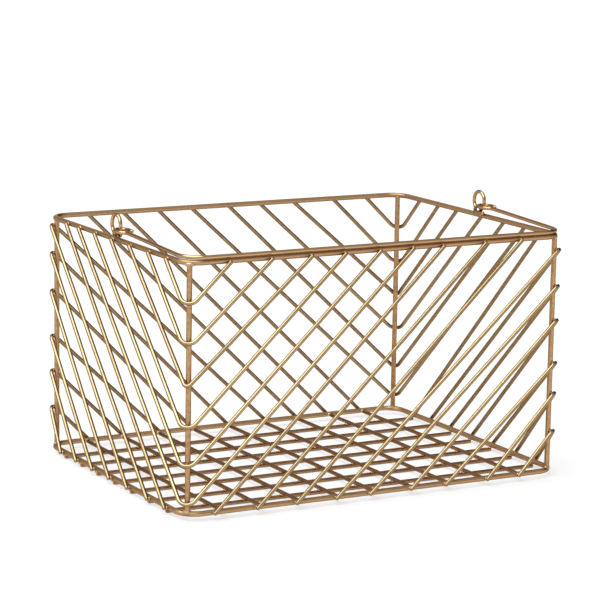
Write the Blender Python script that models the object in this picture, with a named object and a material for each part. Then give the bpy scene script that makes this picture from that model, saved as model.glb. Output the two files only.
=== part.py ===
"""A rectangular basket of welded steel wire with one swing handle.

Metres, +Z up. The origin is on the floor under the middle of the basket, and the front faces -Y.
Left is -X. Each wire is one solid, and wires that are welded together keep a small gap.
"""

import math

import bpy
from mathutils import Matrix, Vector

mm = 0.001

# Driving dimensions of the frame
basket_width = 330 * mm  # between the side bars of a rim, centre to centre
basket_depth = 249 * mm  # between the front and back bars of a rim, centre to centre
wall_height = 189.3 * mm  # from the base rim up to the top rim, centre to centre
rim_corner_radius = 15 * mm
contact_gap = 0.3 * mm  # between two wires that touch or are welded

# Wire diameters
rim_gauge = 4.2 * mm
post_gauge = 4.2 * mm
wall_gauge = 3.2 * mm
base_gauge = 3.2 * mm
eye_gauge = 3.2 * mm
handle_gauge = 3.2 * mm

# Slanted wall wires. A bend radius is that of the centre line round a corner post.
upright_bend_radius = 7.5 * mm  # bends shaped like a V
upturned_bend_radius = 5 * mm  # bends shaped like a V upside down
foot_overrun = 1 * mm  # how far a lower end passes the centre of the base rim
head_overrun = 0.4 * mm  # how far an upper end passes the centre of the top rim

# Base wires, evenly spaced between the bars of the base rim
base_long_count = 7
base_cross_count = 9
base_end_overrun = 0.5 * mm  # how far a lengthwise wire passes the centre of the side bar

# Eyes on the side bars
eye_forward = 3 * mm  # from the middle of the side bar to the eye
eye_radius = 7.6 * mm  # centre line of the ring
eye_tail_length = 12 * mm
eye_tail_lean = math.radians(49)  # how far the tail leans inwards over the side bar
eye_turn = math.radians(348)
eye_lean_turn = math.radians(50)  # the part of the turn over which the ring stands upright

# Handle
swing_gap = 0.4 * mm  # between the handle and the bottom of the eye that carries it
handle_bar_forward = 1.9 * mm  # from the front bar of the top rim to the handle's bar above it
handle_corner_radius = 18 * mm
handle_eye_shift = 1.8 * mm  # from the ring's plane to the middle of the handle's eye, towards +X
handle_eye_side_play = 0.5 * mm  # between the ring's wire and the side of the handle's eye
handle_eye_end_play = 1 * mm  # between the ring's middle and the middle of the handle's eye, past its radius
handle_neck_radius = 4.5 * mm
handle_eye_start = math.radians(-35)
handle_eye_end = math.radians(240)

# Fineness of the facets
thick_wire_sides = 12
thin_wire_sides = 8
corner_steps = 6
bend_steps = 6
ring_steps = 24
handle_eye_steps = 18
neck_steps = 4

# Places of the wall wires, by hand from the photograph. A height is a share of the wall's height above the
# base rim, and an end is a share of the basket's width from the left, or of its depth from the front.
# The last share is the bend's radius as a share of the usual one, because some bends are tighter.
# Wires with an upright V: height of the bend, upper ends on the front or back and on the side, radius
front_left_bend_shares = (
    (0.81, 0.105, 0.11, 1),
    (0.654, 0.21, 0.232, 1),
    (0.505, 0.312, 0.364, 0.4),
    (0.32, 0.40, 0.493, 1),
    (0.165, 0.492, 0.617, 1),
    (0.01, 0.58, 0.738, 1),
)
back_right_bend_shares = (
    (0.82, 0.90, 0.88, 1),
    (0.662, 0.802, 0.758, 1),
    (0.527, 0.683, 0.64, 0.4),
    (0.35, 0.586, 0.487, 1),
    (0.181, 0.495, 0.352, 0.6),
    (0.039, 0.39, 0.23, 0.8),
)
# Wires with an upside-down V: height of the bend, lower ends on the front or back and on the side, radius
back_left_bend_shares = (
    (0.982, 0.614, 0.227, 1),
    (0.863, 0.503, 0.37, 1),
    (0.70, 0.40, 0.504, 1),
    (0.50, 0.308, 0.63, 1),
    (0.348, 0.205, 0.755, 1),
    (0.186, 0.11, 0.876, 1),
)
front_right_bend_shares = (
    (0.96, 0.387, 0.78, 1),
    (0.806, 0.477, 0.652, 1),
    (0.661, 0.588, 0.515, 1),
    (0.477, 0.684, 0.386, 1),
    (0.35, 0.80, 0.248, 1),
    (0.185, 0.89, 0.131, 1),
)
# Straight wires: lower end, upper end
front_straight_shares = ((0.071, 0.662), (0.18, 0.777), (0.282, 0.878))
back_straight_shares = ((0.898, 0.297), (0.798, 0.20), (0.705, 0.105))
left_straight_shares = ((0.106, 0.833),)
right_straight_shares = ((0.885, 0.135),)

# Finish of every wire
wire_colour = (0.50, 0.33, 0.16, 1)
wire_metallic = 0.9
wire_roughness = 0.35

# Heights, from the floor up. A lengthwise base wire lies on one of its facets.
base_long_height = base_gauge / 2 * math.cos(math.pi / thin_wire_sides)
base_cross_height = base_long_height + base_gauge + contact_gap
base_rim_height = base_long_height + base_gauge / 2 + contact_gap + rim_gauge / 2
top_rim_height = base_rim_height + wall_height

# Distances between centre lines of wires that touch
wall_seat = rim_gauge / 2 + contact_gap + wall_gauge / 2
bend_seat = post_gauge / 2 + contact_gap + wall_gauge / 2
eye_seat = rim_gauge / 2 + contact_gap + eye_gauge / 2
handle_seat = rim_gauge / 2 + contact_gap + handle_gauge / 2
swing_seat = eye_gauge / 2 + swing_gap + handle_gauge / 2

half_width = basket_width / 2
half_depth = basket_depth / 2
post_inset = rim_corner_radius * (1 - math.cos(math.pi / 4))
swing_height = top_rim_height + eye_seat + swing_seat
handle_bar_height = top_rim_height + handle_seat

# The oval eye at each end of the handle. At the swing axis it is handle_eye_shift off its widest place.
handle_eye_half_width = swing_seat + handle_eye_shift + handle_eye_side_play
handle_eye_reach = eye_radius + handle_eye_end_play
handle_eye_half_length = handle_eye_reach / math.sqrt(1 - (handle_eye_shift / handle_eye_half_width) ** 2)


def clear_scene():
    """Removes what is in the scene, so that the script can be run again."""
    for old in list(bpy.data.objects):
        bpy.data.objects.remove(old, do_unlink=True)


def gold_finish(name):
    """Gold-coloured metal for one wire."""
    material = bpy.data.materials.new(name)
    material.use_nodes = True
    shader = material.node_tree.nodes["Principled BSDF"]
    shader.inputs["Base Color"].default_value = wire_colour
    shader.inputs["Metallic"].default_value = wire_metallic
    shader.inputs["Roughness"].default_value = wire_roughness
    material.diffuse_color = wire_colour
    return material


def wire(name, points, gauge, sides, origin=None, closed=False, flat_down=False):
    """One round wire along points, as a curve with a bevel. flat_down turns a facet to the floor."""
    origin = points[0] if origin is None else origin
    curve = bpy.data.curves.new(name, "CURVE")
    curve.dimensions = "3D"
    curve.bevel_depth = gauge / 2
    curve.bevel_resolution = (sides - 4) // 2
    curve.use_fill_caps = not closed
    curve.twist_mode = "Z_UP" if closed or flat_down else "MINIMUM"
    spline = curve.splines.new("POLY")
    spline.points.add(len(points) - 1)
    for spline_point, place in zip(spline.points, points):
        spline_point.co = (*(place - origin), 1)
        spline_point.tilt = math.pi / sides if flat_down else 0
    spline.use_cyclic_u = closed
    curve.materials.append(gold_finish(name))
    made = bpy.data.objects.new(name, curve)
    made.location = origin
    made.parent = basket
    basket_parts.objects.link(made)
    return made


def quarter_turn(centre, radius, first_angle):
    """Points of a quarter circle in the XY plane, anticlockwise from first_angle."""
    turn = math.pi / 2
    places = []
    for step in range(corner_steps + 1):
        angle = first_angle + turn * step / corner_steps
        places.append(centre + radius * Vector((math.cos(angle), math.sin(angle), 0)))
    return places


def make_rim(name, height):
    """A closed rectangle of wire with round corners."""
    across = half_width - rim_corner_radius
    along = half_depth - rim_corner_radius
    points = []
    for quarter, (side, end) in enumerate(((1, 1), (-1, 1), (-1, -1), (1, -1))):
        centre = Vector((side * across, end * along, height))
        points += quarter_turn(centre, rim_corner_radius, quarter * math.pi / 2)
    wire(name, points, rim_gauge, thick_wire_sides, Vector((0, 0, height)), closed=True)


def make_post(name, side, end):
    """An upright between the two rims, at the middle of a corner."""
    place_x = side * (half_width - post_inset)
    place_y = end * (half_depth - post_inset)
    rim_clearance = rim_gauge / 2 + contact_gap
    foot = Vector((place_x, place_y, base_rim_height + rim_clearance))
    head = Vector((place_x, place_y, top_rim_height - rim_clearance))
    wire(name, [foot, head], post_gauge, thick_wire_sides)


def along_width(share):
    return (share - 1 / 2) * basket_width


def along_depth(share):
    return (share - 1 / 2) * basket_depth


def overrun(start, end):
    """The end of a wall wire, moved on along the wire past the centre of the rim that it is welded to."""
    way = end - start
    past = head_overrun if way.z > 0 else foot_overrun
    return end + way * (past / abs(way.z))


def make_straight_wire(name, foot, head):
    wire(name, [overrun(head, foot), overrun(foot, head)], wall_gauge, thin_wire_sides)


def bent_wire_points(side, end, bend_radius, bend_height, face_share, side_share, end_height):
    """The centre line of a wall wire that is bent round the post at corner (side, end).

    Its two ends lie on the outside of a rim, and its bend touches the outside of the post. The legs of a tight
    bend touch the post's sides instead.
    """
    face_end = Vector((along_width(face_share), end * (half_depth + wall_seat), end_height))
    side_end = Vector((side * (half_width + wall_seat), along_depth(side_share), end_height))
    outwards = wall_seat
    for _ in range(4):  # the bend's place and the slope of its legs depend on each other
        corner = Vector((side * (half_width + outwards), end * (half_depth + outwards), bend_height))
        to_face = (face_end - corner).normalized()
        to_side = (side_end - corner).normalized()
        inwards = (to_face + to_side).normalized()
        half_angle = to_face.angle(to_side) / 2
        middle = inwards * (bend_radius / math.sin(half_angle) - bend_radius)
        outwards = max((bend_seat + middle.xy.length) / math.sqrt(2), bend_seat) - post_inset
    centre = corner + inwards * (bend_radius / math.sin(half_angle))
    bend_start = corner + to_face * (bend_radius / math.tan(half_angle)) - centre
    axle = bend_start.cross(corner - centre).normalized()
    points = [overrun(corner, face_end)]
    for step in range(bend_steps + 1):
        angle = (math.pi - 2 * half_angle) * step / bend_steps
        points.append(centre + Matrix.Rotation(angle, 3, axle) @ bend_start)
    points.append(overrun(corner, side_end))
    return points


def make_bent_wires(name, side, end, bend_shares, upright):
    """The wires that are bent round one post, from the top down."""
    usual_radius = upright_bend_radius if upright else upturned_bend_radius
    end_height = top_rim_height if upright else base_rim_height
    for number, (height_share, face_share, side_share, radius_share) in enumerate(bend_shares, 1):
        bend_height = base_rim_height + height_share * wall_height
        bend_radius = usual_radius * radius_share
        points = bent_wire_points(side, end, bend_radius, bend_height, face_share, side_share, end_height)
        wire(f"{name}_{number}", points, wall_gauge, thin_wire_sides)


def make_walls():
    """All the slanted wires of the four walls, welded to the outside of the rims."""
    make_bent_wires("front_left_bent_wire", -1, -1, front_left_bend_shares, True)
    make_bent_wires("back_right_bent_wire", 1, 1, back_right_bend_shares, True)
    make_bent_wires("back_left_bent_wire", -1, 1, back_left_bend_shares, False)
    make_bent_wires("front_right_bent_wire", 1, -1, front_right_bend_shares, False)
    for face, end, rows in (("front", -1, front_straight_shares), ("back", 1, back_straight_shares)):
        for number, (foot_share, head_share) in enumerate(rows, 1):
            place_y = end * (half_depth + wall_seat)
            foot = Vector((along_width(foot_share), place_y, base_rim_height))
            head = Vector((along_width(head_share), place_y, top_rim_height))
            make_straight_wire(f"{face}_wire_{number}", foot, head)
    for face, side, rows in (("left", -1, left_straight_shares), ("right", 1, right_straight_shares)):
        for number, (foot_share, head_share) in enumerate(rows, 1):
            place_x = side * (half_width + wall_seat)
            foot = Vector((place_x, along_depth(foot_share), base_rim_height))
            head = Vector((place_x, along_depth(head_share), top_rim_height))
            make_straight_wire(f"{face}_wire_{number}", foot, head)


def spaced_shares(count):
    """Shares of a span for count wires that are evenly spaced over it."""
    return [number / (count + 1) for number in range(1, count + 1)]


def make_base():
    """Lengthwise wires on the floor, under the base rim, and crosswise wires on top of them, inside it."""
    reach = half_width + base_end_overrun
    for number, share in enumerate(spaced_shares(base_long_count), 1):
        left = Vector((-reach, along_depth(share), base_long_height))
        right = Vector((reach, along_depth(share), base_long_height))
        wire(f"base_long_wire_{number}", [left, right], base_gauge, thin_wire_sides, flat_down=True)
    reach = half_depth - rim_gauge / 2 - contact_gap
    for number, share in enumerate(spaced_shares(base_cross_count), 1):
        front = Vector((along_width(share), -reach, base_cross_height))
        back = Vector((along_width(share), reach, base_cross_height))
        wire(f"base_cross_wire_{number}", [front, back], base_gauge, thin_wire_sides, flat_down=True)


def make_eye(name, side):
    """A ring that stands on a side bar, with its tail along the inner side of the bar.

    The right tail points forwards and the left one backwards: it is the same part, turned round.
    """
    tail_way = Vector((0, -side, 0))
    inwards = Vector((-side, 0, 0))
    up = Vector((0, 0, 1))
    bar = Vector((side * half_width, -eye_forward, top_rim_height))
    seat = bar + eye_seat * (math.sin(eye_tail_lean) * inwards + math.cos(eye_tail_lean) * up)
    points = [seat + tail_way * eye_tail_length]
    for step in range(ring_steps + 1):
        turned = eye_turn * step / ring_steps
        upright = min(1, turned / eye_lean_turn)
        lean = eye_tail_lean * (1 - upright * upright * (3 - 2 * upright))
        foot = bar + eye_seat * (math.sin(lean) * inwards + math.cos(lean) * up)
        ring_side = -math.sin(turned) * tail_way
        points.append(foot + eye_radius * (ring_side + (1 - math.cos(turned)) * up))
    wire(name, points, eye_gauge, thin_wire_sides, bar)


def handle_eye_points(ring_x):
    """The eye at one end of the handle, from its tip to its neck, level at the swing axis.

    It passes through the ring at ring_x just on the swing axis. Both ends curl the same way.
    """
    across = handle_eye_half_width
    length = handle_eye_half_length
    middle = Vector((ring_x + handle_eye_shift, -eye_forward - handle_eye_reach, swing_height))
    points = []
    for step in range(handle_eye_steps + 1):
        angle = handle_eye_start + (handle_eye_end - handle_eye_start) * step / handle_eye_steps
        points.append(middle + Vector((across * math.cos(angle), length * math.sin(angle), 0)))
    way = Vector((-across * math.sin(handle_eye_end), length * math.cos(handle_eye_end), 0)).normalized()
    to_neck = Vector((way.y, -way.x, 0))
    neck = points[-1] + handle_neck_radius * to_neck
    neck_turn = way.angle(Vector((0, -1, 0)))
    for step in range(1, neck_steps + 1):
        turned = Matrix.Rotation(-neck_turn * step / neck_steps, 3, "Z")
        points.append(neck - handle_neck_radius * (turned @ to_neck))
    return points


def make_handle():
    """A swing handle. At rest it is folded forwards and lies on the front corners of the top rim."""
    left = handle_eye_points(-half_width)
    right = handle_eye_points(half_width)
    radius = handle_corner_radius
    corner_y = -half_depth - handle_bar_forward + radius
    left_centre = Vector((left[-1].x + radius, corner_y, handle_bar_height))
    right_centre = Vector((right[-1].x - radius, corner_y, handle_bar_height))
    points = left
    points += quarter_turn(left_centre, radius, math.pi)
    points += quarter_turn(right_centre, radius, 3 * math.pi / 2)
    points += reversed(right)
    wire("handle", points, handle_gauge, thick_wire_sides, Vector((0, -eye_forward, swing_height)))


clear_scene()
basket_parts = bpy.data.collections.new("wire_basket")
bpy.context.scene.collection.children.link(basket_parts)
basket = bpy.data.objects.new("wire_basket", None)
basket_parts.objects.link(basket)

make_rim("base_rim", base_rim_height)
make_rim("top_rim", top_rim_height)
make_post("front_left_post", -1, -1)
make_post("front_right_post", 1, -1)
make_post("back_left_post", -1, 1)
make_post("back_right_post", 1, 1)
make_walls()
make_base()
make_eye("left_eye", -1)
make_eye("right_eye", 1)
make_handle()
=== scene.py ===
import math

import bmesh
import bpy
from mathutils import Matrix, Vector


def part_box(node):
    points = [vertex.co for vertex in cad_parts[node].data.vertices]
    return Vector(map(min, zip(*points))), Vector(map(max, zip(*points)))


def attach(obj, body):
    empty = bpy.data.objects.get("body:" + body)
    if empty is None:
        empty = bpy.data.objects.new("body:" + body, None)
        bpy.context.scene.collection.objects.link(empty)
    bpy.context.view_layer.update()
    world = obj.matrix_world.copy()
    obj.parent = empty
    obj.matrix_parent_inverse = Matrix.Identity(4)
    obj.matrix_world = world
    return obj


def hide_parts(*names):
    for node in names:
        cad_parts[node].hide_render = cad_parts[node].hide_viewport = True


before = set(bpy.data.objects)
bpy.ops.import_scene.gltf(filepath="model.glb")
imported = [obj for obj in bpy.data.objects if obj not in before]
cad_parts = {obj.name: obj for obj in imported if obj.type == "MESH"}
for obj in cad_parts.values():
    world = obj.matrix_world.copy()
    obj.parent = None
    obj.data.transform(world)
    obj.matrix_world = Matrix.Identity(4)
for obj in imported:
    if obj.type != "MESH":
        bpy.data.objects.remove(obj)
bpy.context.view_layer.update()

mm = 0.001

# Real gauge of each kind of wire, as in the part's source
gauges = {
    "rim": 4.2 * mm,
    "post": 4.2 * mm,
    "wall": 3.2 * mm,
    "base": 3.2 * mm,
    "eye": 3.2 * mm,
    "handle": 3.2 * mm,
}
rim_corner_radius = 15 * mm

# How much thinner the curled wires are drawn, so that their smooth bends stay inside the solids' box
slimmings = {"eye": 0.2 * mm, "handle": 0.04 * mm}

# How finely a wire is drawn
wire_sides = 20
arc_cuts = 4  # pieces that each short span of a bend is cut into
corner_steps = 24
straight_span = 10 * mm  # a longer span is straight
same_way_angle = 0.01  # radians: faces or wires that differ by less point the same way
merge_distance = 0.001 * mm

# How a wire ends. A cut end is rounded off over a stretch, and a post's end is melted into the rim.
end_radius_share = 0.42  # of the gauge: how long that stretch is
end_shares = (0, 0.06, 0.22, 0.45, 0.72)  # places of the rings along the stretch
end_drop_share = 0.92  # how much of the section's area is gone at the very end
post_sink_share = 0.45  # of the gauge: how far a post's end goes into the rim

# Welds. A bead's half-sizes in length, width and height are shares of the thinner wire's gauge.
weld_reach = 0.6 * mm  # two wires are welded where the gap between them is smaller
weld_spacing = 6 * mm  # nearer welds of the same two wires are one
crossing_bead_shares = (0.62, 0.48, 0.27)
butt_bead_shares = (1.0, 0.6, 0.45)  # at a post's end, where the bead lies along the rim
butt_slope = 0.7  # a wire that points at the other one this squarely ends on it
bead_segments = 8
bead_rings = 6
bead_lump_size = 1.2 * mm
bead_lump_depth = 0.2 * mm
bead_lump_detail = 1.0
bead_size_spread = 0.14
bead_seed = 7

# Patches in the plating, and unevenness in a weld's colour: where the noise starts to show and is full
patch_start = 0.35
patch_full = 0.65
patch_detail = 3
plating_patch_size = 22 * mm

# Streaks that the drawing die leaves along a wire
streak_size = 0.8 * mm  # coarser than the real ones, which are too fine to show
streak_stretch = 0.06  # how much slower the streaks change along the wire than round it
streak_start = 0.52
streak_full = 0.75
streak_share = 0.15  # how far the deepest streak is browned
scratch_depth = 0.05 * mm
scratch_strength = 0.05

# Painted shade round each weld, where the wires meet: browner near the weld's middle, over an uneven grain
joint_shade_grain_size = 2.5 * mm
joint_shade_core = 2.2 * mm  # from a weld's middle: fully browned
joint_shade_reach = 6.5 * mm  # and no longer browned

# Polish and lacquer
polish_patch_size = 30 * mm
polish_start = 0.3
polish_full = 0.7
slant_colour = "#a08a68"  # of the plating where it is seen at a slant
lacquer_roughness = 0.15
lacquer_ior = 1.1

# Spot welds
weld_pale = "#dcba92"
weld_deep = "#b8936c"
weld_smoothest = 0.28
weld_roughest = 0.42
weld_grain_size = 0.8 * mm
weld_grain_depth = 0.1 * mm
weld_grain_strength = 0.4

# The photograph's camera
camera_place = Vector((-1.00575, -1.80822, 0.51554))
camera_target = Vector((-0.00289, -0.00297, 0.13538))
camera_roll = 0.01703
camera_lens = 157.31
camera_sensor = 36
camera_reach = 100

# The white floor and the large soft light, high on the left
floor_reach = 20
floor_white = "#fff5f2"
floor_glow_share = 0.62  # how much of the white that the camera and the metal see needs no light
key_way = Vector((-0.52, -0.1, 0.85))
key_width = math.radians(68)
key_strength = 3.5
key_colour = (0.8, 0.96, 1.0)

# The room that the metal sees: white up to the horizon, and a grey ceiling with three other regions.
# Each region has the way to its middle and its level, and the angles from its middle at which it
# starts to fade and has faded out.
background_level = 1.0
horizon_low = math.radians(7)
horizon_high = math.radians(9)
ceiling_level = 0.45
overhead_way = Vector((0.55, -0.1, 0.83))  # a paler part of the ceiling
overhead_level = 0.62
overhead_inner = math.radians(8)
overhead_outer = math.radians(38)
backdrop_way = Vector((0.42, 0.86, 0.28))  # the white backdrop, rising behind the basket
backdrop_level = 0.95
backdrop_inner = math.radians(12)
backdrop_outer = math.radians(30)
dark_way = Vector((0.95, 0.15, 0.35))  # the dark side of the room, on the right
dark_level = 0.08
dark_inner = math.radians(20)
dark_outer = math.radians(45)

# Attributes that the finishes read: where on the wire a point is, and how far the nearest weld is
DRAWN = "drawn"
WELD_DISTANCE = "weld_distance"

# Attributes that are needed only while the wires and the beads are built
ALONG = "wire_along"
SECTION = "wire_section"
BEAD_NORMAL = "bead_normal"
BEAD_WAY = "bead_way"
BEAD_SIZE = "bead_size"


# Nodes and colours

def linear(hex_colour):
    """A colour for a shader from its sRGB hex value."""
    channels = []
    for start in (1, 3, 5):
        value = int(hex_colour[start:start + 2], 16) / 255
        channels.append(value / 12.92 if value <= 0.04045 else ((value + 0.055) / 1.055) ** 2.4)
    return (*channels, 1)


def add(tree, kind, inputs=None, **settings):
    """Adds a node with its settings.

    An input is given a value, an output, or a node, which stands for its first output in use.
    """
    node = tree.nodes.new(kind)
    for name, value in settings.items():
        setattr(node, name, value)
    for name, value in (inputs or {}).items():
        if isinstance(name, int):
            socket = node.inputs[name]
        else:
            socket = next(one for one in node.inputs if one.name == name and one.enabled)
        if isinstance(value, bpy.types.Node):
            value = next(one for one in value.outputs if one.enabled)
        if isinstance(value, bpy.types.NodeSocket):
            tree.links.new(value, socket)
        else:
            socket.default_value = value
    return node


def new_material(name):
    """A material with an empty tree. Returns it and the tree."""
    material = bpy.data.materials.new(name)
    material.use_nodes = True
    material.node_tree.nodes.clear()
    return material, material.node_tree


# Finishes, with painted light and shade

def plated_wire(name, pale, deep, streak_and_shade_brown, lacquer, smoothest, roughest):
    """Steel wire, cold drawn, welded, then brass plated and lacquered.

    It has a soft gold shine and long faint streaks, and it is browner round the welds as painted shade
    where the wires meet. The lacquer is darkest where it is seen at a slant. It is polished more in some
    places than in others.
    """
    material, tree = new_material(name)
    place = add(tree, "ShaderNodeTexCoord").outputs["Object"]
    drawn = add(tree, "ShaderNodeAttribute", attribute_name=DRAWN).outputs["Vector"]
    weld_distance = add(tree, "ShaderNodeAttribute", attribute_name=WELD_DISTANCE).outputs["Fac"]
    # The plating is thicker in some places than in others
    patches = add(tree, "ShaderNodeTexNoise", {
        "Vector": place, "Scale": 1 / plating_patch_size, "Detail": patch_detail,
    })
    thickness = add(tree, "ShaderNodeMapRange", {
        "Value": patches, "From Min": patch_start, "From Max": patch_full,
    })
    plating = add(tree, "ShaderNodeMix", {
        "Factor": thickness, "A": linear(pale), "B": linear(deep),
    }, data_type="RGBA")
    # Streaks that the drawing die left along the wire
    along = add(tree, "ShaderNodeMapping", {"Vector": drawn, "Scale": (streak_stretch, 1, 1)})
    streaks = add(tree, "ShaderNodeTexNoise", {"Vector": along, "Scale": 1 / streak_size})
    streak_marks = add(tree, "ShaderNodeMapRange", {
        "Value": streaks, "From Min": streak_start, "From Max": streak_full, "To Max": streak_share,
    })
    streaked = add(tree, "ShaderNodeMix", {
        "Factor": streak_marks, "A": plating, "B": linear(streak_and_shade_brown),
    }, data_type="RGBA")
    # Painted shade where the wires meet: browner round each weld, unevenly
    joint_shade_grain = add(tree, "ShaderNodeTexNoise", {"Vector": place, "Scale": 1 / joint_shade_grain_size})
    joint_shade = add(tree, "ShaderNodeMapRange", {
        "Value": weld_distance, "From Min": joint_shade_core, "From Max": joint_shade_reach, "To Min": 1, "To Max": 0,
    })
    painted_joint_shade = add(tree, "ShaderNodeMath", {0: joint_shade, 1: joint_shade_grain}, operation="MULTIPLY")
    colour = add(tree, "ShaderNodeMix", {
        "Factor": painted_joint_shade, "A": streaked, "B": linear(streak_and_shade_brown),
    }, data_type="RGBA")
    # Handling polished it unevenly
    polish = add(tree, "ShaderNodeTexNoise", {"Vector": place, "Scale": 1 / polish_patch_size})
    roughness = add(tree, "ShaderNodeMapRange", {
        "Value": polish, "From Min": polish_start, "From Max": polish_full,
        "To Min": smoothest, "To Max": roughest,
    })
    scratches = add(tree, "ShaderNodeBump", {
        "Strength": scratch_strength, "Distance": scratch_depth, "Height": streaks,
    })
    shader = add(tree, "ShaderNodeBsdfPrincipled", {
        "Base Color": colour, "Metallic": 1, "Roughness": roughness, "Normal": scratches,
        "Specular Tint": linear(slant_colour), "Coat Weight": 1, "Coat Roughness": lacquer_roughness,
        "Coat IOR": lacquer_ior, "Coat Tint": linear(lacquer),
    })
    add(tree, "ShaderNodeOutputMaterial", {"Surface": shader})
    return material


def plated_weld():
    """A spot weld under the same plating: lumpy and duller than the wire, as it was never drawn smooth."""
    material, tree = new_material("brass_plated_weld")
    place = add(tree, "ShaderNodeTexCoord").outputs["Object"]
    grain = add(tree, "ShaderNodeTexNoise", {
        "Vector": place, "Scale": 1 / weld_grain_size, "Detail": patch_detail,
    })
    unevenness = add(tree, "ShaderNodeMapRange", {
        "Value": grain, "From Min": patch_start, "From Max": patch_full,
    })
    colour = add(tree, "ShaderNodeMix", {
        "Factor": unevenness, "A": linear(weld_pale), "B": linear(weld_deep),
    }, data_type="RGBA")
    roughness = add(tree, "ShaderNodeMapRange", {
        "Value": grain, "From Min": polish_start, "From Max": polish_full,
        "To Min": weld_smoothest, "To Max": weld_roughest,
    })
    pits = add(tree, "ShaderNodeBump", {
        "Strength": weld_grain_strength, "Distance": weld_grain_depth, "Height": grain,
    })
    shader = add(tree, "ShaderNodeBsdfPrincipled", {
        "Base Color": colour, "Metallic": 1, "Roughness": roughness, "Normal": pits,
    })
    add(tree, "ShaderNodeOutputMaterial", {"Surface": shader})
    return material


weld_finish = plated_weld()
# All the wires have the same brass plating. Its colours and lacquer differ by kind as painted light and
# shade: the posts and wall wires are painted paler, the rims and base wires darker and redder, and the wall
# wires' lacquer darkens their edges more.
finishes_and_painted_shade = {
    "wall": plated_wire(
        "brass_plated_wall_wire", pale="#f2dabc", deep="#ead1b4", streak_and_shade_brown="#a07a58", lacquer="#ccc2ac",
        smoothest=0.19, roughest=0.24,
    ),
    "base": plated_wire(
        "brass_plated_base_wire", pale="#ecc6a4", deep="#e2ba96", streak_and_shade_brown="#98704e", lacquer="#d6ccbc",
        smoothest=0.24, roughest=0.3,
    ),
    "handle": plated_wire(
        "brass_plated_handle_wire", pale="#f4cca0", deep="#ecc296", streak_and_shade_brown="#a07a50", lacquer="#d8d0c4",
        smoothest=0.17, roughest=0.22,
    ),
    # The thicker wire is drawn less often, so that it is duller
    "rim": plated_wire(
        "brass_plated_rim_wire", pale="#ecc69d", deep="#e4bc93", streak_and_shade_brown="#a07a50", lacquer="#d8d0c4",
        smoothest=0.4, roughest=0.46,
    ),
    "post": plated_wire(
        "brass_plated_post_wire", pale="#f8d2ac", deep="#f0c8a2", streak_and_shade_brown="#a07a50", lacquer="#e4dccc",
        smoothest=0.28, roughest=0.34,
    ),
}
finishes_and_painted_shade["eye"] = finishes_and_painted_shade["handle"]


def kind_of(node):
    """The kind of wire that a solid is bent from."""
    if node.startswith(("base_long", "base_cross")):
        return "base"
    last_word = node.split("_")[-1]
    return last_word if last_word in gauges else "wall"


# Centre lines of the wires, from the solids

def centre_line(node, gauge):
    """The middle of each ring of corners of an open wire's solid, from one end to the other.

    A round wire on the floor lies a little higher than its solid, which rests there on a facet.
    """
    solid = bmesh.new()
    solid.from_mesh(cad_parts[node].data)
    bmesh.ops.remove_doubles(solid, verts=solid.verts, dist=merge_distance)
    bmesh.ops.dissolve_limit(solid, angle_limit=same_way_angle, verts=solid.verts, edges=solid.edges)
    ring = list(max(solid.faces, key=lambda face: len(face.verts)).verts)
    seen = set(ring)
    points = []
    while ring:
        middle = sum((corner.co for corner in ring), Vector()) / len(ring)
        points.append(Vector((middle.x, middle.y, max(middle.z, gauge / 2))))
        following = []
        for corner in ring:
            for edge in corner.link_edges:
                other = edge.other_vert(corner)
                if other not in seen:
                    seen.add(other)
                    following.append(other)
        ring = following
    solid.free()
    return points


def rim_line(node, gauge):
    """The centre line of a rim: a rectangle with round corners."""
    low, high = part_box(node)
    middle = (low + high) / 2
    across = (high.x - low.x - gauge) / 2 - rim_corner_radius
    along = (high.y - low.y - gauge) / 2 - rim_corner_radius
    points = []
    for quarter, (side, end) in enumerate(((1, 1), (-1, 1), (-1, -1), (1, -1))):
        centre = middle + Vector((side * across, end * along, 0))
        for step in range(corner_steps + 1):
            angle = (quarter + step / corner_steps) * math.pi / 2
            points.append(centre + rim_corner_radius * Vector((math.cos(angle), math.sin(angle), 0)))
    return points


def span_ways(points):
    """The direction of the wire at each point. A straight span keeps its own direction at both its ends."""
    spans = [after - before for before, after in zip(points, points[1:])]
    ways = []
    for number in range(len(points)):
        near = spans[max(number - 1, 0):number + 1]
        straight = [span for span in near if span.length > straight_span]
        ways.append(sum((span.normalized() for span in (straight or near)), Vector()).normalized())
    return ways


def smoothed(points):
    """The same line with each short span made a smooth arc of finer steps."""
    ways = span_ways(points)
    fine = [points[0]]
    for number in range(len(points) - 1):
        start, end = points[number], points[number + 1]
        reach = (end - start).length
        if reach < straight_span:
            for cut in range(1, arc_cuts):
                share = cut / arc_cuts
                rest = 1 - share
                # Hermite weights for the two ends and their directions
                fine.append(
                    start * (1 + 2 * share) * rest ** 2 + end * (1 + 2 * rest) * share ** 2
                    + reach * share * rest * (rest * ways[number] - share * ways[number + 1])
                )
        fine.append(end)
    return fine


def with_round_ends(points, gauge):
    """Adds the places of the rings that round off both ends."""
    reach = end_radius_share * gauge
    for _ in range(2):  # each time one end is rounded and the line is turned round
        way = (points[1] - points[0]).normalized()
        points = [points[0] + way * reach * share for share in (*end_shares, 1)] + points[1:]
        points.reverse()
    return points


def sunk_ends(points, gauge):
    """A post's line, with both ends moved on into the rims that they are welded to."""
    way = (points[-1] - points[0]).normalized() * post_sink_share * gauge
    return [points[0] - way, *points[1:-1], points[-1] + way]


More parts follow.
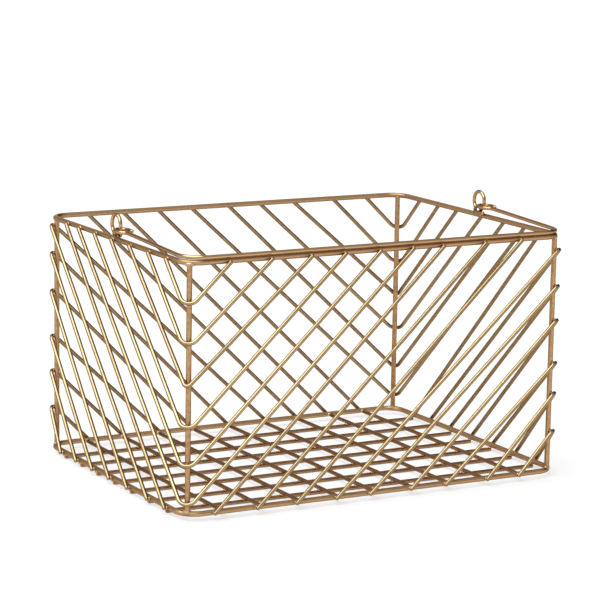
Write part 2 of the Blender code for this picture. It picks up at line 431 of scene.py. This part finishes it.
wires = {}
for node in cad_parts:
    kind = kind_of(node)
    gauge = gauges[kind]
    end_rounding = 0.0
    if kind == "rim":
        drawn_line = rim_line(node, gauge)
        line = drawn_line + drawn_line[:1]
    else:
        line = centre_line(node, gauge)
        if kind == "post":
            drawn_line = sunk_ends(line, gauge)
        else:
            drawn_line = with_round_ends(smoothed(line), gauge)
            end_rounding = end_radius_share * gauge
    wires[node] = {
        "kind": kind, "gauge": gauge, "drawn_gauge": gauge - slimmings.get(kind, 0),
        "line": line, "drawn_line": drawn_line, "end_rounding": end_rounding,
    }


# Where the wires are welded

def nearest_places(first, second):
    """The closest places on two segments, each given by its two ends."""
    start, way = first[0], first[1] - first[0]
    other_start, other_way = second[0], second[1] - second[0]
    between = start - other_start
    own, shared, other = way.dot(way), way.dot(other_way), other_way.dot(other_way)
    lead, other_lead = way.dot(between), other_way.dot(between)
    turned = own * other - shared * shared
    parallel = turned < own * other * same_way_angle ** 2
    share = 0.5 if parallel else min(max((shared * other_lead - other * lead) / turned, 0), 1)
    other_share = min(max((shared * share + other_lead) / other, 0), 1)
    share = min(max((shared * other_share - lead) / own, 0), 1)
    return start + way * share, other_start + other_way * other_share


def box_of(points, margin):
    """The low and high corner of the box round these points, with a margin on each side."""
    low = Vector(min(point[axis] for point in points) - margin for axis in range(3))
    high = Vector(max(point[axis] for point in points) + margin for axis in range(3))
    return low, high


def bead_at(place, other_place, segment, other_segment, gauge, other_gauge):
    """The weld of two wires at these nearest places: where it is, its two directions and its half-sizes."""
    normal = (other_place - place).normalized()
    way = (segment[1] - segment[0]).normalized()
    other_way = (other_segment[1] - other_segment[0]).normalized()
    middle = place.lerp(other_place, gauge / (gauge + other_gauge))
    thinner = min(gauge, other_gauge)
    if max(abs(way.dot(normal)), abs(other_way.dot(normal))) > butt_slope:
        lengthwise = other_way if abs(way.dot(normal)) > butt_slope else way
        return middle, normal, lengthwise, Vector(butt_bead_shares) * thinner
    lengthwise = way if gauge < other_gauge else other_way
    return middle, normal, lengthwise, Vector(crossing_bead_shares) * thinner


def welds_between(first, second):
    """The welds of two wires, at most one within weld_spacing of another."""
    reach = (first["gauge"] + second["gauge"]) / 2 + weld_reach
    low, high = box_of(first["line"], reach)
    other_low, other_high = box_of(second["line"], 0)
    if any(low[axis] > other_high[axis] or other_low[axis] > high[axis] for axis in range(3)):
        return []
    found = []
    for segment in zip(first["line"], first["line"][1:]):
        for other in zip(second["line"], second["line"][1:]):
            place, other_place = nearest_places(segment, other)
            distance = (other_place - place).length
            if distance < reach:
                bead = bead_at(place, other_place, segment, other, first["gauge"], second["gauge"])
                found.append((distance, bead))
    found.sort(key=lambda weld: weld[0])
    kept = []
    for _, bead in found:
        if all((bead[0] - other[0]).length > weld_spacing for other in kept):
            kept.append(bead)
    return kept


def weld_set(names):
    """The set that a weld between these two wires belongs to."""
    kinds = [wires[name]["kind"] for name in names]
    if "top_rim" in names:
        return "top_rim_welds"
    if "post" in kinds and "rim" not in kinds:
        return "corner_post_welds"
    if "rim" in kinds and "base" not in kinds:
        return "base_rim_welds"
    return "base_grid_welds"


weld_sets = {"top_rim_welds": [], "base_rim_welds": [], "corner_post_welds": [], "base_grid_welds": []}
basket_wires = [name for name in wires if name != "handle"]
for number, name in enumerate(basket_wires):
    for other in basket_wires[number + 1:]:
        weld_sets[weld_set((name, other))] += welds_between(wires[name], wires[other])


# Geometry Nodes trees

def new_tree(name, inputs):
    """A tree for a modifier with these named inputs, each with its kind of socket.

    Returns the tree and its input node.
    """
    tree = bpy.data.node_groups.new(name, "GeometryNodeTree")
    tree.interface.new_socket("Geometry", in_out="INPUT", socket_type="NodeSocketGeometry")
    for label, kind in inputs:
        tree.interface.new_socket(label, in_out="INPUT", socket_type=kind)
    tree.interface.new_socket("Geometry", in_out="OUTPUT", socket_type="NodeSocketGeometry")
    return tree, add(tree, "NodeGroupInput")


def wire_tree():
    """Draws a round wire along a curve and rounds off its ends.

    It stores where on the wire each point is, and how far the nearest weld is.
    """
    tree, given = new_tree("drawn_wire", (
        ("Gauge", "NodeSocketFloat"), ("End rounding", "NodeSocketFloat"), ("Sides", "NodeSocketInt"),
        ("Welds", "NodeSocketObject"), ("Finish", "NodeSocketMaterial"),
    ))
    end_rounding = given.outputs["End rounding"]
    # Over the last stretch the section shrinks along an ellipse
    along = add(tree, "GeometryNodeSplineParameter").outputs["Length"]
    length = add(tree, "GeometryNodeSplineLength").outputs["Length"]
    to_far_end = add(tree, "ShaderNodeMath", {0: length, 1: along}, operation="SUBTRACT")
    to_nearer_end = add(tree, "ShaderNodeMath", {0: along, 1: to_far_end}, operation="MINIMUM")
    inwards = add(tree, "ShaderNodeMath", {0: to_nearer_end, 1: end_rounding}, operation="DIVIDE")
    outwards = add(tree, "ShaderNodeMath", {0: 1, 1: inwards}, operation="SUBTRACT", use_clamp=True)
    square = add(tree, "ShaderNodeMath", {0: outwards, 1: 2}, operation="POWER")
    drop = add(tree, "ShaderNodeMath", {0: square, 1: end_drop_share}, operation="MULTIPLY")
    left = add(tree, "ShaderNodeMath", {0: 1, 1: drop}, operation="SUBTRACT")
    fullness = add(tree, "ShaderNodeMath", {0: left}, operation="SQRT")
    has_ends = add(tree, "FunctionNodeCompare", {0: end_rounding, 1: 0.0}, operation="GREATER_THAN")
    share = add(tree, "GeometryNodeSwitch", {
        "Switch": has_ends, "False": 1.0, "True": fullness,
    }, input_type="FLOAT")
    radius = add(tree, "ShaderNodeMath", {0: given.outputs["Gauge"], 1: 0.5}, operation="MULTIPLY")
    path = add(tree, "GeometryNodeStoreNamedAttribute", {
        "Geometry": given.outputs["Geometry"], "Name": ALONG, "Value": along,
    }, data_type="FLOAT", domain="POINT")
    circle = add(tree, "GeometryNodeCurvePrimitiveCircle", {
        "Resolution": given.outputs["Sides"], "Radius": radius,
    })
    section = add(tree, "GeometryNodeStoreNamedAttribute", {
        "Geometry": circle, "Name": SECTION, "Value": add(tree, "GeometryNodeInputPosition"),
    }, data_type="FLOAT_VECTOR", domain="POINT")
    wire = add(tree, "GeometryNodeCurveToMesh", {
        "Curve": path, "Profile Curve": section, "Scale": share, "Fill Caps": True,
    })
    # Along the wire and across its section, for the streaks
    stored_along = add(tree, "GeometryNodeInputNamedAttribute", {"Name": ALONG}, data_type="FLOAT")
    stored_section = add(tree, "GeometryNodeInputNamedAttribute", {
        "Name": SECTION,
    }, data_type="FLOAT_VECTOR")
    across = add(tree, "ShaderNodeSeparateXYZ", {"Vector": stored_section})
    drawn = add(tree, "ShaderNodeCombineXYZ", {
        "X": stored_along, "Y": across.outputs["X"], "Z": across.outputs["Y"],
    })
    marked = add(tree, "GeometryNodeStoreNamedAttribute", {
        "Geometry": wire, "Name": DRAWN, "Value": drawn,
    }, data_type="FLOAT_VECTOR", domain="POINT")
    welds = add(tree, "GeometryNodeObjectInfo", {"Object": given.outputs["Welds"]})
    nearest = add(tree, "GeometryNodeProximity", {
        "Geometry": welds.outputs["Geometry"],
    }, target_element="POINTS")
    weld_distance_stored = add(tree, "GeometryNodeStoreNamedAttribute", {
        "Geometry": marked, "Name": WELD_DISTANCE, "Value": nearest.outputs["Distance"],
    }, data_type="FLOAT", domain="POINT")
    smooth = add(tree, "GeometryNodeSetShadeSmooth", {"Geometry": weld_distance_stored})
    real = add(tree, "GeometryNodeRealizeInstances", {"Geometry": smooth})
    finished = add(tree, "GeometryNodeSetMaterial", {"Geometry": real, "Material": given.outputs["Finish"]})
    add(tree, "NodeGroupOutput", {"Geometry": finished})
    return tree


def bead_tree():
    """Puts a lumpy bead at each point, lying along the wire, each a little different in size."""
    tree, given = new_tree("weld_beads", (
        ("Segments", "NodeSocketInt"), ("Rings", "NodeSocketInt"), ("Size spread", "NodeSocketFloat"),
        ("Lump size", "NodeSocketFloat"), ("Lump depth", "NodeSocketFloat"), ("Seed", "NodeSocketInt"),
        ("Finish", "NodeSocketMaterial"),
    ))
    normal = add(tree, "GeometryNodeInputNamedAttribute", {"Name": BEAD_NORMAL}, data_type="FLOAT_VECTOR")
    way = add(tree, "GeometryNodeInputNamedAttribute", {"Name": BEAD_WAY}, data_type="FLOAT_VECTOR")
    half_sizes = add(tree, "GeometryNodeInputNamedAttribute", {"Name": BEAD_SIZE}, data_type="FLOAT_VECTOR")
    turn = add(tree, "FunctionNodeAxesToRotation", {
        "Primary Axis": normal, "Secondary Axis": way,
    }, primary_axis="Z", secondary_axis="X")
    spread = given.outputs["Size spread"]
    smallest = add(tree, "ShaderNodeMath", {0: 1, 1: spread}, operation="SUBTRACT")
    largest = add(tree, "ShaderNodeMath", {0: 1, 1: spread}, operation="ADD")
    chance = add(tree, "FunctionNodeRandomValue", {
        "Min": smallest, "Max": largest, "Seed": given.outputs["Seed"],
    }, data_type="FLOAT")
    size = add(tree, "ShaderNodeVectorMath", {"Vector": half_sizes, "Scale": chance}, operation="SCALE")
    ball = add(tree, "GeometryNodeMeshUVSphere", {
        "Segments": given.outputs["Segments"], "Rings": given.outputs["Rings"], "Radius": 1.0,
    })
    beads = add(tree, "GeometryNodeInstanceOnPoints", {
        "Points": given.outputs["Geometry"], "Instance": ball, "Rotation": turn, "Scale": size,
    })
    real = add(tree, "GeometryNodeRealizeInstances", {"Geometry": beads})
    # Lumps push the surface in and out along its normals
    fineness = add(tree, "ShaderNodeMath", {0: 1, 1: given.outputs["Lump size"]}, operation="DIVIDE")
    lumps = add(tree, "ShaderNodeTexNoise", {
        "Vector": add(tree, "GeometryNodeInputPosition"), "Scale": fineness, "Detail": bead_lump_detail,
    })
    centred = add(tree, "ShaderNodeMath", {0: lumps, 1: 0.5}, operation="SUBTRACT")
    depth = add(tree, "ShaderNodeMath", {0: centred, 1: given.outputs["Lump depth"]}, operation="MULTIPLY")
    push = add(tree, "ShaderNodeVectorMath", {
        "Vector": add(tree, "GeometryNodeInputNormal"), "Scale": depth,
    }, operation="SCALE")
    lumpy = add(tree, "GeometryNodeSetPosition", {"Geometry": real, "Offset": push})
    smooth = add(tree, "GeometryNodeSetShadeSmooth", {"Geometry": lumpy})
    real = add(tree, "GeometryNodeRealizeInstances", {"Geometry": smooth})
    finished = add(tree, "GeometryNodeSetMaterial", {"Geometry": real, "Material": given.outputs["Finish"]})
    add(tree, "NodeGroupOutput", {"Geometry": finished})
    return tree


def with_nodes(source, tree, values):
    """Gives source the tree with these input values."""
    modifier = source.modifiers.new(tree.name, "NODES")
    modifier.node_group = tree
    sockets = {item.name: item.identifier for item in tree.interface.items_tree if item.in_out == "INPUT"}
    for label, value in values.items():
        modifier[sockets[label]] = value
    return source


def placed(name, data):
    """An object at the origin that holds this data."""
    made = bpy.data.objects.new(name, data)
    bpy.context.scene.collection.objects.link(made)
    return made


def plain_meshes(sources):
    """Turns each source's result into a plain mesh object of the same name, and removes the sources."""
    graph = bpy.context.evaluated_depsgraph_get()
    meshes = {}
    for name, source in sources.items():
        meshes[name] = bpy.data.meshes.new_from_object(source.evaluated_get(graph), depsgraph=graph)
    plain = {}
    for name, mesh in meshes.items():
        bpy.data.objects.remove(sources[name], do_unlink=True)
        mesh.name = name
        for label in (ALONG, SECTION, BEAD_NORMAL, BEAD_WAY, BEAD_SIZE):
            if label in mesh.attributes:
                mesh.attributes.remove(mesh.attributes[label])
        plain[name] = placed(name, mesh)
    return plain


def wire_curve(name, points, closed):
    """The line of a wire as a curve, for the nodes to build on."""
    curve = bpy.data.curves.new(name, "CURVE")
    curve.dimensions = "3D"
    curve.twist_mode = "MINIMUM"
    spline = curve.splines.new("POLY")
    spline.points.add(len(points) - 1)
    for spline_point, place in zip(spline.points, points):
        spline_point.co = (*place, 1)
    spline.use_cyclic_u = closed
    return placed(name, curve)


def bead_points(name, beads):
    """Loose points with the directions and half-sizes of each bead, for the nodes to build on."""
    mesh = bpy.data.meshes.new(name)
    mesh.from_pydata([bead[0] for bead in beads], [], [])
    for place, label in enumerate((BEAD_NORMAL, BEAD_WAY, BEAD_SIZE), 1):
        attribute = mesh.attributes.new(label, "FLOAT_VECTOR", "POINT")
        attribute.data.foreach_set("vector", [value for bead in beads for value in bead[place]])
    return placed(name, mesh)


# The basket's pieces

wire_nodes = wire_tree()
bead_nodes = bead_tree()
weld_marks = bead_points("weld_marks", [bead for beads in weld_sets.values() for bead in beads])

sources = {}
for node, wire in wires.items():
    curve = wire_curve(f"{node}_line", wire["drawn_line"], wire["kind"] == "rim")
    sources[f"smooth_{node}"] = with_nodes(curve, wire_nodes, {
        "Gauge": wire["drawn_gauge"],
        "End rounding": wire["end_rounding"],
        "Sides": wire_sides,
        "Welds": weld_marks,
        "Finish": finishes_and_painted_shade[wire["kind"]],
    })
for name, beads in weld_sets.items():
    sources[name] = with_nodes(bead_points(f"{name}_points", beads), bead_nodes, {
        "Segments": bead_segments,
        "Rings": bead_rings,
        "Size spread": bead_size_spread,
        "Lump size": bead_lump_size,
        "Lump depth": bead_lump_depth,
        "Seed": bead_seed,
        "Finish": weld_finish,
    })
pieces = plain_meshes(sources)
bpy.data.objects.remove(weld_marks, do_unlink=True)

for node in wires:
    piece = pieces[f"smooth_{node}"]
    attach(piece, "handle" if node == "handle" else "basket")
    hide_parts(node)
for name in weld_sets:
    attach(pieces[name], "basket")


# The studio

def make_floor():
    """A floor rolled with matt white paint, so that it takes soft shadows and shows no shine.

    The camera and the metal see it partly as white of its own, which keeps it white.
    """
    mesh = bpy.data.meshes.new("studio_floor")
    corners = [(x * floor_reach, y * floor_reach, 0) for x, y in ((-1, -1), (1, -1), (1, 1), (-1, 1))]
    mesh.from_pydata(corners, [], [(0, 1, 2, 3)])
    material, tree = new_material("white_studio_floor")
    paint = add(tree, "ShaderNodeBsdfDiffuse", {"Color": linear(floor_white)})
    glow = add(tree, "ShaderNodeEmission", {"Strength": 1})
    rays = add(tree, "ShaderNodeLightPath").outputs
    seen = rays["Is Camera Ray"]
    for ray in ("Is Glossy Ray", "Is Transmission Ray"):
        seen = add(tree, "ShaderNodeMath", {0: seen, 1: rays[ray]}, operation="MAXIMUM")
    share = add(tree, "ShaderNodeMath", {0: seen, 1: floor_glow_share}, operation="MULTIPLY")
    both = add(tree, "ShaderNodeMixShader", {0: share, 1: paint, 2: glow})
    add(tree, "ShaderNodeOutputMaterial", {"Surface": both})
    mesh.materials.append(material)
    placed("studio_floor", mesh)


def make_key_light():
    """The large soft light, high on the left."""
    key = bpy.data.lights.new("key_softbox", "SUN")
    key.angle = key_width
    key.energy = key_strength
    key.color = key_colour
    placed("key_softbox", key).rotation_euler = key_way.to_track_quat("Z", "Y").to_euler()


def make_room():
    """What the metal sees round it: white low down, and above it a grey ceiling with its other regions."""
    room = bpy.data.worlds.new("studio")
    bpy.context.scene.world = room
    room.use_nodes = True
    tree = room.node_tree
    tree.nodes.clear()
    direction = add(tree, "ShaderNodeTexCoord").outputs["Generated"]
    level = ceiling_level
    for way, own_level, inner, outer in (
        (overhead_way, overhead_level, overhead_inner, overhead_outer),
        (backdrop_way, backdrop_level, backdrop_inner, backdrop_outer),
        (dark_way, dark_level, dark_inner, dark_outer),
    ):
        slant = add(tree, "ShaderNodeVectorMath", {
            0: direction, 1: way.normalized(),
        }, operation="DOT_PRODUCT")
        nearness = add(tree, "ShaderNodeMapRange", {
            "Value": slant.outputs["Value"], "From Min": math.cos(outer), "From Max": math.cos(inner),
        }, interpolation_type="SMOOTHSTEP")
        level = add(tree, "ShaderNodeMix", {"Factor": nearness, "A": level, "B": own_level})
    height = add(tree, "ShaderNodeSeparateXYZ", {"Vector": direction}).outputs["Z"]
    above = add(tree, "ShaderNodeMapRange", {
        "Value": height, "From Min": math.sin(horizon_low), "From Max": math.sin(horizon_high),
    })
    level = add(tree, "ShaderNodeMix", {"Factor": above, "A": background_level, "B": level})
    glow = add(tree, "ShaderNodeBackground", {"Color": (1, 1, 1, 1), "Strength": level})
    add(tree, "ShaderNodeOutputWorld", {"Surface": glow})


def make_camera():
    """The photograph's camera."""
    camera = bpy.data.cameras.new("photograph_camera")
    camera.lens = camera_lens
    camera.sensor_width = camera_sensor
    camera.clip_end = camera_reach
    made = placed("photograph_camera", camera)
    made.location = camera_place
    aim = (camera_target - camera_place).to_track_quat("-Z", "Y").to_matrix()
    made.rotation_euler = (aim @ Matrix.Rotation(camera_roll, 3, "Z")).to_euler()
    bpy.context.scene.camera = made
    bpy.context.scene.view_settings.view_transform = "Standard"


make_floor()
make_key_light()
make_room()
make_camera()
